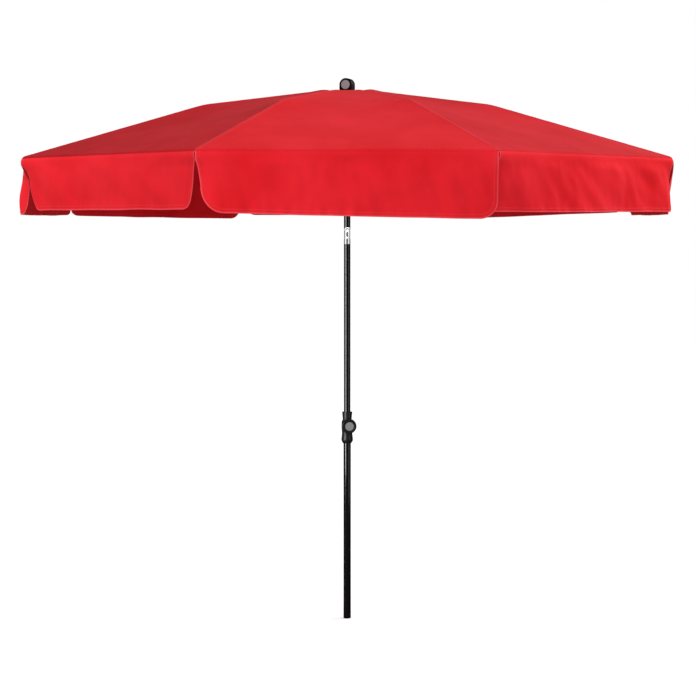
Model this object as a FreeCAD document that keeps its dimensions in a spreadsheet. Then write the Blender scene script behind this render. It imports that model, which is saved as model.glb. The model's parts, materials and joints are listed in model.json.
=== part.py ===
"""Patio umbrella: a two-part pole with a clamp, a tilt joint, and a canopy on eight folding ribs.

Millimetres, +Z up. The origin is on the pole's axis, at the underside of the foot plug.
"""

import FreeCAD, Part
import os

import Sketcher
from FreeCAD import Placement, Rotation, Vector

RIBS = 8
ROUND = 360.0

# The driving dimensions. Each row is (alias, millimetres or degrees).
SIZES = [
    # fits between pieces, on the radius
    ("press_gap", 0.05),
    ("running_gap", 0.05),
    ("slide_gap", 0.1),
    ("free_gap", 0.3),
    # pole tubes
    ("upper_outer", 22.0),
    ("upper_wall", 1.0),
    ("upper_foot", 210.0),
    ("lower_wall", 1.2),
    ("lower_head", 640.0),
    # foot plug
    ("plug_flange", 5.0),
    ("plug_depth", 25.0),
    ("plug_wall", 1.8),
    # guide bush in the foot of the upper tube
    ("bush_flange", 4.0),
    ("bush_depth", 16.0),
    ("bush_bore", 14.0),
    # clamp on the head of the lower tube
    ("clamp_foot", 591.0),
    ("clamp_height", 105.0),
    ("clamp_groove", 4.0),
    ("clamp_groove_deep", 0.4),
    ("clamp_lip", 2.5),
    ("clamp_chamfer", 9.0),
    ("clamp_skirt", 14.0),
    ("clamp_skirt_wall", 7.1),
    ("clamp_neck", 31.0),
    ("clamp_neck_wall", 5.0),
    ("clamp_belly_wall", 6.3),
    ("clamp_belly_half", 10.0),
    ("clamp_waist", 80.0),
    ("clamp_waist_wall", 4.0),
    ("clamp_rim_wall", 6.2),
    # clamp knob, on an axis square to the pole
    ("knob_height", 652.0),
    ("knob_turn", 10.0),
    ("knob_outer", 50.0),
    ("knob_thick", 17.0),
    ("knob_round", 3.5),
    ("knob_cap_outer", 29.0),
    ("knob_cap_thick", 3.0),
    ("knob_cap_sunk", 1.5),
    ("boss_reach", 27.0),
    ("boss_outer", 26.0),
    ("screw_outer", 8.0),
    ("screw_depth", 12.0),
    ("nut_across", 15.0),
    ("nut_thick", 6.5),
    ("nut_floor", 17.0),
    # tilt joint
    ("tilt_foot", 1264.0),
    ("tilt_rise", 26.0),
    ("tilt_reach", 22.0),
    ("tilt_shoulder", 0.5),
    ("tilt_collar", 7.5),
    ("tilt_heel", 9.5),
    ("tilt_slot", 8.0),
    ("tilt_rivet_outer", 5.0),
    ("spigot_depth", 25.0),
    # crown
    ("crown_height", 1771.0),
    ("crown_radius", 30.0),
    ("hub_rim", 6.0),
    ("hub_above", 6.0),
    ("hub_below", 8.0),
    ("ring_wire", 2.5),
    # ribs: crown pivot, bend over the strut pivot, tip
    ("bend_radius", 508.0),
    ("bend_height", 1715.0),
    ("tip_radius", 1095.0),
    ("tip_height", 1533.0),
    ("rib_wide", 5.0),
    ("rib_deep", 8.0),
    ("rib_wall", 0.8),
    ("rib_eye_long", 12.0),
    ("rib_rivet", 2.5),
    ("rib_head", 0.6),
    ("tip_cap_long", 25.0),
    ("tip_cap_wall", 0.8),
    ("tip_cap_end", 3.0),
    # struts
    ("strut_wide", 4.4),
    ("strut_wall", 0.8),
    ("strut_flat_outer", 70.0),
    ("strut_flat_inner", 40.0),
    ("flat_lap", 8.0),
    # runner
    ("runner_height", 1525.0),
    ("runner_radius", 30.0),
    ("runner_wall", 5.7),
    ("runner_rim", 5.0),
    ("runner_flange_half", 6.0),
    ("runner_below", 45.0),
    ("runner_above", 14.0),
    ("latch_drop", 25.0),
    ("latch_outer", 8.0),
    ("latch_head_outer", 13.0),
    ("latch_head_thick", 4.5),
    # canopy
    ("cloth_thick", 1.5),
    ("cloth_gap", 1.6),
    ("crown_flat", 100.0),
    ("crown_open", 28.0),
    ("seam_gap", 0.5),
    ("edge_radius", 1100.0),
    ("flap_bottom", 1361.0),
    ("flap_side_gap", 10.0),
    ("flap_corner", 70.0),
    ("hem_cord", 1.2),
    ("hem_gap", 0.8),
    ("patch_outer", 90.0),
    ("patch_thick", 1.0),
    # finial
    ("finial_wide", 44.0),
    ("finial_thick", 34.0),
    ("finial_shoulder", 22.0),
    ("finial_turn", -20.0),
    ("finial_stud", 10.0),
    ("finial_stud_depth", 12.0),
    ("finial_cap_outer", 31.0),
    ("finial_cap_thick", 3.0),
    ("finial_cap_sunk", 1.0),
]

# Sizes that follow from the driving ones, in the order that they are needed.
LAYOUT = [
    ("upper_rad", "Sizes.upper_outer / 2"),
    ("upper_bore", "upper_rad - Sizes.upper_wall"),
    ("lower_bore", "upper_rad + Sizes.free_gap"),
    ("lower_rad", "lower_bore + Sizes.lower_wall"),
    ("clamp_head", "Sizes.clamp_foot + Sizes.clamp_height"),
    ("knob_back", "Sizes.boss_reach + 1"),
    ("knob_face", "knob_back + Sizes.knob_thick"),
    ("tilt_pivot", "Sizes.tilt_foot + Sizes.tilt_rise"),
    ("tilt_crest", "tilt_pivot + Sizes.tilt_reach"),
    ("collar_foot", "tilt_crest + Sizes.tilt_shoulder"),
    ("head_foot", "collar_foot + Sizes.tilt_collar"),
    ("hub_foot", "Sizes.crown_height - Sizes.hub_below"),
    ("hub_head", "Sizes.crown_height + Sizes.hub_above"),
    ("half_step", "180 / %d" % RIBS),
    ("half_cos", "cos(half_step)"),
    ("half_tan", "tan(half_step)"),
    ("inner_run", "Sizes.bend_radius - Sizes.crown_radius"),
    ("inner_slope", "atan((Sizes.crown_height - Sizes.bend_height) / inner_run)"),
    ("outer_run", "Sizes.tip_radius - Sizes.bend_radius"),
    ("outer_slope", "atan((Sizes.bend_height - Sizes.tip_height) / outer_run)"),
    ("inner_cos", "cos(inner_slope)"),
    ("inner_tan", "tan(inner_slope)"),
    ("outer_cos", "cos(outer_slope)"),
    ("outer_tan", "tan(outer_slope)"),
    ("bend_cos", "cos((inner_slope + outer_slope) / 2)"),
    ("rib_half", "Sizes.rib_deep / 2"),
    ("rib_inside", "Sizes.rib_wide - 2 * Sizes.rib_wall"),
    ("eye_rad", "rib_half - Sizes.rib_wall"),
    ("strut_run", "Sizes.bend_radius - Sizes.runner_radius"),
    ("strut_slope", "atan((Sizes.bend_height - Sizes.runner_height) / strut_run)"),
    ("strut_cos", "cos(strut_slope)"),
    ("strut_sin", "sin(strut_slope)"),
    ("strut_long", "strut_run / strut_cos"),
    ("strut_half", "eye_rad - 2 * Sizes.free_gap"),
    ("strut_inside", "Sizes.strut_wide - 2 * Sizes.strut_wall"),
    ("runner_bore", "upper_rad + Sizes.free_gap"),
    ("sleeve_rad", "runner_bore + Sizes.runner_wall"),
    ("latch_height", "Sizes.runner_height - Sizes.latch_drop"),
    ("cloth_rise", "rib_half + Sizes.cloth_gap"),
    ("crown_cloth", "hub_head + Sizes.free_gap"),
    ("bend_cloth", "Sizes.bend_height + cloth_rise / bend_cos"),
    ("edge_drop", "(Sizes.edge_radius - Sizes.tip_radius) * outer_tan"),
    ("edge_cloth", "Sizes.tip_height - edge_drop + cloth_rise / outer_cos"),
    ("edge_chord", "Sizes.edge_radius * half_cos"),
    ("hinge_chord", "edge_chord + Sizes.hem_cord + Sizes.hem_gap"),
    ("hinge_height", "edge_cloth + Sizes.cloth_thick / 2"),
    ("flap_half", "hinge_chord * half_tan - Sizes.flap_side_gap"),
    ("patch_foot", "crown_cloth + Sizes.cloth_thick + Sizes.free_gap"),
    ("finial_foot", "patch_foot + Sizes.patch_thick"),
    ("arch_height", "finial_foot + Sizes.finial_shoulder"),
]

doc = FreeCAD.newDocument("patio_umbrella")
kept = []


def fill_sheet(name, rows, prefix):
    """A spreadsheet with one aliased cell per row of (alias, value)."""
    sheet = doc.addObject("Spreadsheet::Sheet", name)
    for row, (alias, value) in enumerate(rows, start=1):
        sheet.set("A%d" % row, alias)
        sheet.set("B%d" % row, prefix + str(value))
        sheet.setAlias("B%d" % row, alias)
    doc.recompute()
    return sheet


fill_sheet("Sizes", SIZES, "")
layout = fill_sheet("Layout", LAYOUT, "=")


def keep(obj, label):
    """Names an object as a sub-part of the umbrella."""
    obj.Label = label
    kept.append(obj)
    return obj


def bind(obj, **formulas):
    """Binds properties to formulas over the two sheets. An underscore pair stands for a dot."""
    for prop, formula in formulas.items():
        obj.setExpression(prop.replace("__", "."), formula)
    return obj


def value_of(formula):
    """The present value of a formula over the two sheets, as a sketch's first guess."""
    return float(doc.getObject("Sizes").evalExpression(formula))


def sketch_on(body, plane, points):
    """A closed outline on one of the body's origin planes, each corner bound to a pair of formulas."""
    sketch = body.newObject("Sketcher::SketchObject", body.Name + "_outline")
    base = [f for f in body.Origin.OriginFeatures if f.Role == plane][0]
    sketch.AttachmentSupport = [(base, "")]
    sketch.MapMode = "FlatFace"
    spots = [Vector(value_of(x), value_of(y), 0) for x, y in points]
    for start, end in zip(spots, spots[1:] + spots[:1]):
        sketch.addGeometry(Part.LineSegment(start, end), False)
    for n, (formulas, spot) in enumerate(zip(points, spots)):
        sketch.addConstraint(Sketcher.Constraint("Coincident", (n - 1) % len(points), 2, n, 1))
        for kind, formula, amount in zip(("DistanceX", "DistanceY"), formulas, spot):
            index = sketch.addConstraint(Sketcher.Constraint(kind, -1, 1, n, 1, amount))
            sketch.setExpression("Constraints[%d]" % index, formula)
    return sketch


def turned(name, points):
    """A body of revolution about Z. Each point is a pair of formulas for (radius, height)."""
    body = doc.addObject("PartDesign::Body", name)
    sketch = sketch_on(body, "XZ_Plane", points)
    spin = body.newObject("PartDesign::Revolution", name + "_turned")
    spin.Profile = sketch
    spin.ReferenceAxis = (sketch, ["V_Axis"])
    spin.Angle = ROUND
    return body


def plate(name, plane, points, thick):
    """An outline padded evenly to both sides of its plane."""
    body = doc.addObject("PartDesign::Body", name)
    pad = body.newObject("PartDesign::Pad", name + "_pad")
    pad.Profile = sketch_on(body, plane, points)
    pad.SideType = "Symmetric"
    pad.setExpression("Length", thick)
    return body


def rod(name, radius, length, height="0", toward="up", start="0"):
    """A cylinder from the pole's axis at a height, pointing up, to the front (-Y) or right (+X)."""
    obj = doc.addObject("Part::Cylinder", name)
    turn = {"up": Rotation(), "front": Rotation(Vector(1, 0, 0), 90), "right": Rotation(Vector(0, 1, 0), 90)}
    obj.Placement = Placement(Vector(), turn[toward])
    bind(obj, Radius=radius, Height=length, Placement__Base__z=height)
    if toward == "front":
        bind(obj, Placement__Base__y="-(%s)" % start)
    elif toward == "right":
        bind(obj, Placement__Base__x=start)
    return obj


def cross_rod(name, radius, length, x, height):
    """A cylinder across the XZ plane, centred on it at (x, height)."""
    obj = rod(name, radius, length, height, "front", "-(%s) / 2" % length)
    return bind(obj, Placement__Base__x=x)


def fuse(name, *pieces):
    obj = doc.addObject("Part::MultiFuse", name)
    obj.Shapes = list(pieces)
    return obj


def cut(name, base, *tools):
    obj = doc.addObject("Part::Cut", name)
    obj.Base = base
    obj.Tool = tools[0] if len(tools) == 1 else fuse(name + "_tools", *tools)
    return obj


def common(name, base, tool):
    obj = doc.addObject("Part::Common", name)
    obj.Base = base
    obj.Tool = tool
    return obj


def turn_to(obj, angle):
    """Turns an object about the pole's axis."""
    return bind(obj, Placement__Rotation__Angle=angle)


def carried(name, obj):
    """An object in a placement of its own, so that a piece made facing the front can be turned."""
    carrier = doc.addObject("Part::Compound", name)
    carrier.Links = [obj]
    return carrier


def tube(name, inner, outer, foot, head):
    return turned(name, [(inner, foot), (outer, foot), (outer, head), (inner, head)])


def ring_of_slots(body, inner, outer, width):
    """Radial slots through a turned body, one for each rib, the first along +X."""
    half = "(%s) / 2" % width
    corners = [(inner, "-" + half), (outer, "-" + half), (outer, half), (inner, half)]
    pocket = body.newObject("PartDesign::Pocket", body.Name + "_slot")
    pocket.Profile = sketch_on(body, "XY_Plane", corners)
    pocket.SideType = "Symmetric"
    pocket.setExpression("Length", "Sizes.crown_height * 4")
    doc.recompute()
    pattern = body.newObject("PartDesign::PolarPattern", body.Name + "_slots")
    pattern.Originals = [pocket]
    axis = [f for f in body.Origin.OriginFeatures if f.Role == "Z_Axis"][0]
    pattern.Axis = (axis, [""])
    pattern.Angle = ROUND
    pattern.Occurrences = RIBS
    body.Tip = pattern
    return body


# ---- lower pole: tube, foot plug, clamp ----

# A groove is rolled in the tube where the clamp's snap rib sits.
groove_rad = "Layout.lower_rad - Sizes.clamp_groove_deep"
groove_head = "Sizes.clamp_foot + Sizes.clamp_groove"
lower = turned("lower_tube_body", [
    ("Layout.lower_bore", "Sizes.plug_flange"),
    ("Layout.lower_rad", "Sizes.plug_flange"),
    ("Layout.lower_rad", "Sizes.clamp_foot"),
    (groove_rad, "Sizes.clamp_foot"),
    (groove_rad, groove_head),
    ("Layout.lower_rad", groove_head),
    ("Layout.lower_rad", "Sizes.lower_head"),
    ("Layout.lower_bore", "Sizes.lower_head"),
])
keep(lower, "lower_tube")

plug_outer = "Layout.lower_bore - Sizes.press_gap"
plug_head = "Sizes.plug_flange + Sizes.plug_depth"
plug = turned("foot_plug_body", [
    ("0", "0"),
    ("Layout.lower_rad - Sizes.slide_gap", "0"),
    ("Layout.lower_rad - Sizes.slide_gap", "Sizes.plug_flange"),
    (plug_outer, "Sizes.plug_flange"),
    (plug_outer, plug_head),
    (plug_outer + " - Sizes.plug_wall", plug_head),
    (plug_outer + " - Sizes.plug_wall", "Sizes.plug_flange"),
    ("0", "Sizes.plug_flange"),
])
keep(plug, "foot_plug")


def clamp_level(alias):
    return "Sizes.clamp_foot + Sizes." + alias


clamp_bore = "Layout.lower_rad + Sizes.press_gap"
clamp_sleeve = "Layout.upper_rad + Sizes.slide_gap"
snap_rad = groove_rad + " + Sizes.press_gap"
snap_foot = "Sizes.clamp_foot + Sizes.press_gap"
snap_head = groove_head + " - Sizes.press_gap"
clamp_turned = turned("clamp_turned", [
    (clamp_bore, "Sizes.clamp_foot"),
    ("Layout.lower_rad + Sizes.clamp_lip", "Sizes.clamp_foot"),
    ("Layout.lower_rad + Sizes.clamp_skirt_wall", clamp_level("clamp_chamfer")),
    ("Layout.lower_rad + Sizes.clamp_skirt_wall", clamp_level("clamp_skirt")),
    ("Layout.lower_rad + Sizes.clamp_neck_wall", clamp_level("clamp_neck")),
    ("Layout.lower_rad + Sizes.clamp_belly_wall", "Sizes.knob_height - Sizes.clamp_belly_half"),
    ("Layout.lower_rad + Sizes.clamp_belly_wall", "Sizes.knob_height + Sizes.clamp_belly_half"),
    ("Layout.upper_rad + Sizes.clamp_waist_wall", clamp_level("clamp_waist")),
    ("Layout.upper_rad + Sizes.clamp_rim_wall", "Layout.clamp_head"),
    (clamp_sleeve, "Layout.clamp_head"),
    (clamp_sleeve, "Sizes.lower_head + Sizes.free_gap"),
    (clamp_bore, "Sizes.lower_head + Sizes.free_gap"),
    (clamp_bore, snap_head),
    (snap_rad, snap_head),
    (snap_rad, snap_foot),
    (clamp_bore, snap_foot),
])
boss = cut(
    "boss",
    rod("boss_rod", "Sizes.boss_outer / 2", "Sizes.boss_reach", "Sizes.knob_height", "front"),
    rod("boss_bore", clamp_bore, "Sizes.clamp_height", "Sizes.clamp_foot"),
)
nut_pocket = doc.addObject("Part::Prism", "nut_pocket")
nut_pocket.Polygon = 6
nut_pocket.Placement = Placement(Vector(), Rotation(Vector(1, 0, 0), 90))
bind(
    nut_pocket,
    Circumradius="Sizes.nut_across / 2 + Sizes.slide_gap",
    Height="Sizes.boss_reach",
    Placement__Base__y="-Sizes.nut_floor",
    Placement__Base__z="Sizes.knob_height",
)
screw_hole = rod(
    "screw_hole",
    "Sizes.screw_outer / 2 + Sizes.free_gap",
    "Sizes.boss_reach",
    "Sizes.knob_height",
    "front",
)
clamp = cut("clamp", fuse("clamp_solid", clamp_turned, boss), nut_pocket, screw_hole)
keep(turn_to(clamp, "Sizes.knob_turn"), "clamp_body")

nut_blank = doc.addObject("Part::Prism", "nut_blank")
nut_blank.Polygon = 6
nut_blank.Placement = Placement(Vector(), Rotation(Vector(1, 0, 0), 90))
bind(
    nut_blank,
    Circumradius="Sizes.nut_across / 2",
    Height="Sizes.nut_thick",
    Placement__Base__y="-(Sizes.nut_floor + Sizes.slide_gap)",
    Placement__Base__z="Sizes.knob_height",
)
nut_hole = rod(
    "nut_hole",
    "Sizes.screw_outer / 2 + Sizes.running_gap",
    "Sizes.boss_reach * 2",
    "Sizes.knob_height",
    "front",
)
keep(turn_to(cut("nut", nut_blank, nut_hole), "Sizes.knob_turn"), "clamp_nut")

# ---- clamp knob: knob, cap and screw turn together ----

screw_start = "Layout.upper_rad + Sizes.free_gap"
screw_end = "Layout.knob_back + Sizes.screw_depth"
screw = rod(
    "screw",
    "Sizes.screw_outer / 2",
    "%s - (%s)" % (screw_end, screw_start),
    "Sizes.knob_height",
    "front",
    screw_start,
)
keep(turn_to(carried("screw_turned", screw), "Sizes.knob_turn"), "clamp_screw")

knob_radius = "Sizes.knob_outer / 2"
knob_recess = "Sizes.knob_cap_outer / 2 + Sizes.slide_gap"
knob_floor = "Sizes.knob_thick - Sizes.knob_cap_sunk"
knob_socket = "Sizes.screw_outer / 2 + Sizes.press_gap"
knob_turned = turned("knob_turned", [
    (knob_socket, "0"),
    (knob_radius + " - Sizes.knob_round", "0"),
    (knob_radius, "Sizes.knob_round"),
    (knob_radius, "Sizes.knob_thick - Sizes.knob_round"),
    (knob_radius + " - Sizes.knob_round", "Sizes.knob_thick"),
    (knob_recess, "Sizes.knob_thick"),
    (knob_recess, knob_floor),
    ("0", knob_floor),
    ("0", "Sizes.screw_depth + Sizes.free_gap"),
    (knob_socket, "Sizes.screw_depth + Sizes.free_gap"),
])
knob_turned.Placement = Placement(Vector(), Rotation(Vector(1, 0, 0), 90))
bind(knob_turned, Placement__Base__y="-Layout.knob_back", Placement__Base__z="Sizes.knob_height")
keep(turn_to(carried("knob", knob_turned), "Sizes.knob_turn"), "clamp_knob")


def domed_disc(name, radius, thick, back, height):
    """A shallow domed cap that faces the front, its back face at a distance from the pole's axis."""
    disc = turned(name + "_turned", [
        ("0", "0"),
        (radius, "0"),
        (radius, "(%s) * 0.6" % thick),
        ("(%s) * 0.85" % radius, "(%s) * 0.9" % thick),
        ("0", thick),
    ])
    disc.Placement = Placement(Vector(), Rotation(Vector(1, 0, 0), 90))
    bind(disc, Placement__Base__y="-(%s)" % back, Placement__Base__z=height)
    return carried(name, disc)


knob_cap = domed_disc(
    "knob_cap",
    "Sizes.knob_cap_outer / 2",
    "Sizes.knob_cap_thick",
    "Layout.knob_face - Sizes.knob_cap_sunk",
    "Sizes.knob_height",
)
keep(turn_to(knob_cap, "Sizes.knob_turn"), "clamp_knob_cap")

# ---- upper pole: tube, guide bush, lower half of the tilt joint ----

upper = tube(
    "upper_tube_body",
    "Layout.upper_bore",
    "Layout.upper_rad",
    "Sizes.upper_foot + Sizes.bush_flange",
    "Sizes.tilt_foot",
)
keep(upper, "upper_tube")

bush_head = "Sizes.upper_foot + Sizes.bush_flange + Sizes.bush_depth"
bush = turned("guide_bush_body", [
    ("Sizes.bush_bore / 2", "Sizes.upper_foot"),
    ("Layout.lower_bore - Sizes.slide_gap", "Sizes.upper_foot"),
    ("Layout.lower_bore - Sizes.slide_gap", "Sizes.upper_foot + Sizes.bush_flange"),
    ("Layout.upper_bore - Sizes.press_gap", "Sizes.upper_foot + Sizes.bush_flange"),
    ("Layout.upper_bore - Sizes.press_gap", bush_head),
    ("Sizes.bush_bore / 2", bush_head),
])
keep(bush, "guide_bush")

# The fork's cheeks end in an arc about the pivot, so that the tongue's collar clears them as it tilts.
fork_rod = rod("fork_rod", "Layout.upper_rad", "Layout.tilt_crest - Sizes.tilt_foot", "Sizes.tilt_foot")
fork_arc = cross_rod("fork_arc", "Sizes.tilt_reach", "Sizes.upper_outer * 2", "0", "Layout.tilt_pivot")
fork_base = rod("fork_base", "Sizes.upper_outer", "Sizes.tilt_rise", "Sizes.tilt_foot")
fork_solid = common("fork_solid", fork_rod, fork_arc)
fork_lower = common("fork_lower", fork_rod, fork_base)
spigot_rad = "Layout.upper_bore - Sizes.press_gap"
fork_spigot = rod("fork_spigot", spigot_rad, "Sizes.spigot_depth", "Sizes.tilt_foot - Sizes.spigot_depth")
slot_foot = "Layout.tilt_pivot - Sizes.tilt_heel - Sizes.tilt_shoulder"
slot_side = "Sizes.upper_outer"
fork_slot = plate("fork_slot", "XZ_Plane", [
    ("-" + slot_side, slot_foot),
    (slot_side, slot_foot),
    (slot_side, "Layout.head_foot"),
    ("-" + slot_side, "Layout.head_foot"),
], "Sizes.tilt_slot")
rivet_hole = "Sizes.tilt_rivet_outer / 2 + Sizes.running_gap"
fork_hole = cross_rod("fork_hole", rivet_hole, "Sizes.upper_outer * 2", "0", "Layout.tilt_pivot")
keep(cut("fork", fuse("fork_blank", fork_solid, fork_lower, fork_spigot), fork_slot, fork_hole), "tilt_fork")

rivet_long = "Sizes.upper_outer - 2 * Sizes.slide_gap"
keep(cross_rod("rivet", "Sizes.tilt_rivet_outer / 2", rivet_long, "0", "Layout.tilt_pivot"), "tilt_rivet")

# ---- head: upper half of the tilt joint, tube, crown hub, finial ----

tongue_thick = "Sizes.tilt_slot - 2 * Sizes.free_gap"
tongue_blade = plate("tongue_blade", "XZ_Plane", [
    ("-Sizes.tilt_heel", "Layout.tilt_pivot"),
    ("Sizes.tilt_heel", "Layout.tilt_pivot"),
    ("Sizes.tilt_heel", "Layout.collar_foot"),
    ("-Sizes.tilt_heel", "Layout.collar_foot"),
], tongue_thick)
tongue_heel = cross_rod("tongue_heel", "Sizes.tilt_heel", tongue_thick, "0", "Layout.tilt_pivot")
tongue_collar = rod("tongue_collar", "Layout.upper_rad", "Sizes.tilt_collar", "Layout.collar_foot")
tongue_spigot = rod("tongue_spigot", spigot_rad, "Sizes.spigot_depth", "Layout.head_foot")
tongue_hole = cross_rod("tongue_hole", rivet_hole, "Sizes.upper_outer * 2", "0", "Layout.tilt_pivot")
tongue_blank = fuse("tongue_blank", tongue_blade, tongue_heel, tongue_collar, tongue_spigot)
keep(cut("tongue", tongue_blank, tongue_hole), "tilt_tongue")

head_ends = ("Layout.head_foot", "Layout.hub_foot")
head_body = tube("head_tube_body", "Layout.upper_bore", "Layout.upper_rad", *head_ends)
latch_hole_rad = "Sizes.latch_outer / 2 + Sizes.free_gap"
latch_hole = rod("latch_hole", latch_hole_rad, "Sizes.upper_outer", "Layout.latch_height", "front")
keep(cut("head_cut", head_body, latch_hole), "head_tube")

first_rib = "-90 - Layout.half_step"
hub_rim = "Sizes.crown_radius + Sizes.hub_rim"
stud_hole = "Sizes.finial_stud / 2 + Sizes.press_gap"
stud_floor = "Layout.hub_head - Sizes.finial_stud_depth - Sizes.free_gap"
wire_half = "Sizes.ring_wire / 2 + Sizes.press_gap"
hub = turned("hub_turned", [
    ("0", "Layout.hub_foot - Sizes.spigot_depth"),
    (spigot_rad, "Layout.hub_foot - Sizes.spigot_depth"),
    (spigot_rad, "Layout.hub_foot"),
    (hub_rim, "Layout.hub_foot"),
    (hub_rim, "Layout.hub_head"),
    (stud_hole, "Layout.hub_head"),
    (stud_hole, stud_floor),
    ("0", stud_floor),
])
ring_of_slots(
    hub,
    "Sizes.crown_radius - Layout.eye_rad - 2 * Sizes.free_gap",
    hub_rim + " + Sizes.hub_rim",
    "Layout.rib_inside + 2 * Sizes.free_gap",
)
wire_groove = tube(
    "wire_groove",
    "Sizes.crown_radius - (%s)" % wire_half,
    "Sizes.crown_radius + " + wire_half,
    "Layout.hub_foot - Sizes.hub_rim",
    "Sizes.crown_height",
)
wire_seat = doc.addObject("Part::Torus", "wire_seat")
bind(wire_seat, Radius1="Sizes.crown_radius", Radius2=wire_half, Placement__Base__z="Sizes.crown_height")
keep(turn_to(cut("hub", hub, wire_groove, wire_seat), first_rib), "crown_hub")

wire = doc.addObject("Part::Torus", "wire")
wire_rad = "Sizes.ring_wire / 2"
bind(wire, Radius1="Sizes.crown_radius", Radius2=wire_rad, Placement__Base__z="Sizes.crown_height")
keep(wire, "crown_ring")

patch = tube(
    "patch_body",
    "Sizes.finial_stud / 2 + Sizes.free_gap",
    "Sizes.patch_outer / 2",
    "Layout.patch_foot",
    "Layout.patch_foot + Sizes.patch_thick",
)
keep(patch, "crown_patch")

finial_half = "Sizes.finial_wide / 2"
finial_block = plate("finial_block", "XZ_Plane", [
    ("-" + finial_half, "Layout.finial_foot"),
    (finial_half, "Layout.finial_foot"),
    (finial_half, "Layout.arch_height"),
    ("-" + finial_half, "Layout.arch_height"),
], "Sizes.finial_thick")
finial_arch = cross_rod("finial_arch", finial_half, "Sizes.finial_thick", "0", "Layout.arch_height")
finial_arch.Angle = ROUND / 2
finial_stud = rod(
    "finial_stud",
    "Sizes.finial_stud / 2",
    "Layout.finial_foot - Layout.hub_head + Sizes.finial_stud_depth",
    "Layout.hub_head - Sizes.finial_stud_depth",
)
cap_recess = rod(
    "cap_recess",
    "Sizes.finial_cap_outer / 2 + Sizes.slide_gap",
    "Sizes.finial_thick",
    "Layout.arch_height",
    "front",
    "Sizes.finial_thick / 2 - Sizes.finial_cap_sunk",
)
finial = cut("finial_cut", fuse("finial_solid", finial_block, finial_arch, finial_stud), cap_recess)
keep(turn_to(finial, "Sizes.finial_turn"), "finial")

finial_cap = domed_disc(
    "finial_disc",
    "Sizes.finial_cap_outer / 2",
    "Sizes.finial_cap_thick",
    "Sizes.finial_thick / 2 - Sizes.finial_cap_sunk",
    "Layout.arch_height",
)
keep(turn_to(finial_cap, "Sizes.finial_turn"), "finial_cap")

# ---- runner and its latch ----

runner_rim = "Sizes.runner_radius + Sizes.runner_rim"
flange_foot = "Sizes.runner_height - Sizes.runner_flange_half"
flange_head = "Sizes.runner_height + Sizes.runner_flange_half"
runner = turned("runner_turned", [
    ("Layout.runner_bore", "Sizes.runner_height - Sizes.runner_below"),
    ("Layout.sleeve_rad", "Sizes.runner_height - Sizes.runner_below"),
    ("Layout.sleeve_rad", flange_foot),
    (runner_rim, flange_foot),
    (runner_rim, flange_head),
    ("Layout.sleeve_rad", flange_head),
    ("Layout.sleeve_rad", "Sizes.runner_height + Sizes.runner_above"),
    ("Layout.runner_bore", "Sizes.runner_height + Sizes.runner_above"),
])
ring_of_slots(
    runner,
    "Sizes.runner_radius - Layout.strut_half - Sizes.ring_wire / 2",
    runner_rim + " + Sizes.runner_rim",
    "Sizes.strut_wide",
)
turn_to(runner, first_rib)
pin_hole = rod(
    "pin_hole",
    "Sizes.latch_outer / 2 + Sizes.running_gap",
    "Sizes.runner_radius",
    "Layout.latch_height",
    "front",
)
keep(cut("runner_cut", runner, pin_hole), "runner")

pin_start = "Layout.upper_rad + Sizes.free_gap"
head_start = "Layout.sleeve_rad + Sizes.free_gap"
pin_shank = rod(
    "pin_shank",
    "Sizes.latch_outer / 2",
    "%s - (%s)" % (head_start, pin_start),
    "Layout.latch_height",
    "front",
    pin_start,
)
pin_head = rod(
    "pin_head",
    "Sizes.latch_head_outer / 2",
    "Sizes.latch_head_thick",
    "Layout.latch_height",
    "front",
    head_start,
)
keep(fuse("pin", pin_shank, pin_head), "runner_latch")


# ---- ribs, struts, gores and flaps: one of each to every eighth of the canopy ----


def rib_line(start, end_radius):
    """Points (radius, height, vertical share of a unit of depth) on the rib's centre line."""
    begin = (
        "(Sizes.crown_radius + %s)" % start,
        "(Sizes.crown_height - %s * Layout.inner_tan)" % start,
        "Layout.inner_cos",
    )
    bend = ("Sizes.bend_radius", "Sizes.bend_height", "Layout.bend_cos")
    end = (
        end_radius,
        "(Sizes.tip_height - ((%s) - Sizes.tip_radius) * Layout.outer_tan)" % end_radius,
        "Layout.outer_cos",
    )
    return [begin, bend, end]


def band(line, above, below):
    """The outline between a line raised by above and lowered by below, both square to the line."""
    top = [(x, "%s + (%s) / %s" % (z, above, share)) for x, z, share in line]
    under = [(x, "%s - (%s) / %s" % (z, below, share)) for x, z, share in line]
    return top + under[::-1]


def strut_line(start, end):
    """Points at two distances from the strut's outer pivot, towards the runner."""
    return [
        (
            "(Sizes.bend_radius - (%s) * Layout.strut_cos)" % far,
            "(Sizes.bend_height - (%s) * Layout.strut_sin)" % far,
            "Layout.strut_cos",
        )
        for far in (start, end)
    ]


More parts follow.
